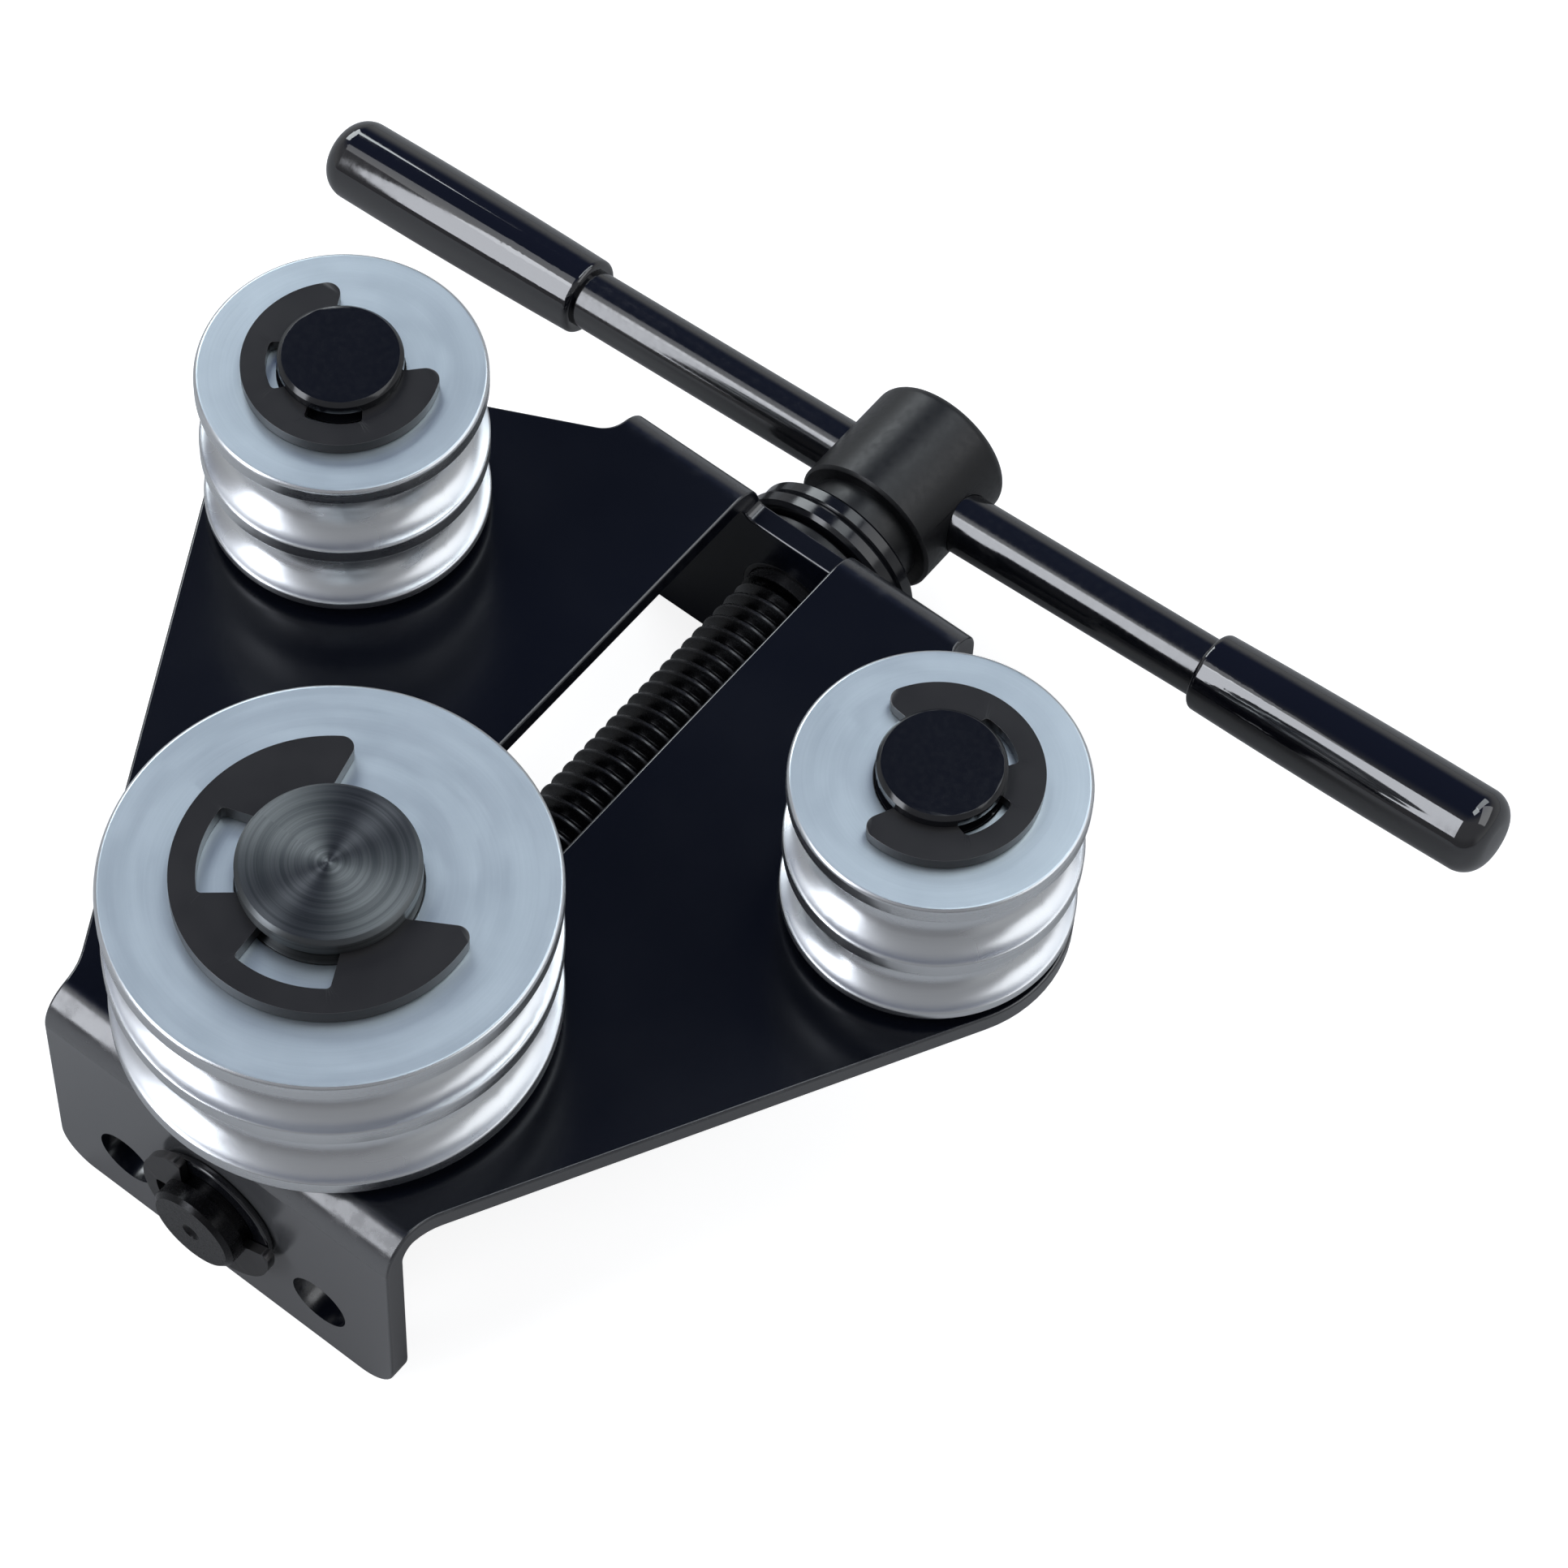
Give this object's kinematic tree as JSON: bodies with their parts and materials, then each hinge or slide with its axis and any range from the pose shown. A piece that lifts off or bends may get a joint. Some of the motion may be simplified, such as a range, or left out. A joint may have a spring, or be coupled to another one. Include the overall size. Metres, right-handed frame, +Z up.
{
  "type": "brake pipe bender",
  "caption": "Bench pipe bender: a hand screw with a sliding bar draws a large grooved roller between smaller grooved rollers on a bent steel plate.",
  "frame": {"origin": "midway between the two mounting holes, on the outer face of the front flange", "axes": "+Z up, square to the plate; +Y along the screw toward its handle; +X across the plate"},
  "size_m": [0.184, 0.1452, 0.066],
  "materials": {
    "black_paint": "satin",
    "zinc_steel": "satin",
    "clip_steel": "satin",
    "turned_steel": "satin",
    "black_steel": "gloss",
    "screw_steel": "oiled",
    "black_dip": "gloss"
  },
  "bodies": {
    "frame": {"base_plate": "black_paint", "left_axle": "black_paint", "right_axle": "black_paint", "left_base_washer": "zinc_steel", "right_base_washer": "zinc_steel", "left_e_clip": "clip_steel", "right_e_clip": "clip_steel", "front_washer": "black_paint", "rear_bush": "black_steel", "thrust_washer_inner": "black_steel", "thrust_washer_outer": "black_steel"},
    "screw": {"lead_screw": "screw_steel", "front_e_clip": "clip_steel", "handle_boss": "black_paint"},
    "bar": {"sliding_bar": "black_steel", "left_grip": "black_dip", "right_grip": "black_dip"},
    "slider": {"slider_block": "turned_steel", "main_axle": "turned_steel", "main_base_washer": "zinc_steel", "main_e_clip": "clip_steel"},
    "main_wheel": {"main_roller": "zinc_steel"},
    "left_wheel": {"left_roller": "zinc_steel"},
    "right_wheel": {"right_roller": "zinc_steel"}
  },
  "joints": [
    {"name": "screw_turn", "type": "hinge", "parent": "frame", "child": "screw", "pos_m": [0, 0, 0.007], "axis": [0, -1, 0], "range_deg": [0, 11520]},
    {"name": "bar_slide", "type": "slide", "parent": "screw", "child": "bar", "axis": [0.9969, 0, 0.0785], "range_m": [-0.037, 0.0408]},
    {"name": "slider_travel", "type": "slide", "parent": "frame", "child": "slider", "axis": [0, 1, 0], "range_m": [0, 0.0678]},
    {"name": "main_roller_spin", "type": "hinge", "parent": "slider", "child": "main_wheel", "pos_m": [0, 0.0222, 0.0391], "axis": [0, 0, 1], "continuous": true},
    {"name": "left_roller_spin", "type": "hinge", "parent": "frame", "child": "left_wheel", "pos_m": [-0.0445, 0.0762, 0.0391], "axis": [0, 0, 1], "continuous": true},
    {"name": "right_roller_spin", "type": "hinge", "parent": "frame", "child": "right_wheel", "pos_m": [0.0445, 0.0762, 0.0391], "axis": [0, 0, 1], "continuous": true}
  ],
  "couplings": [
    {"joint": "slider_travel", "follows": "screw_turn", "m_per_rad": 0.00033688}
  ]
}
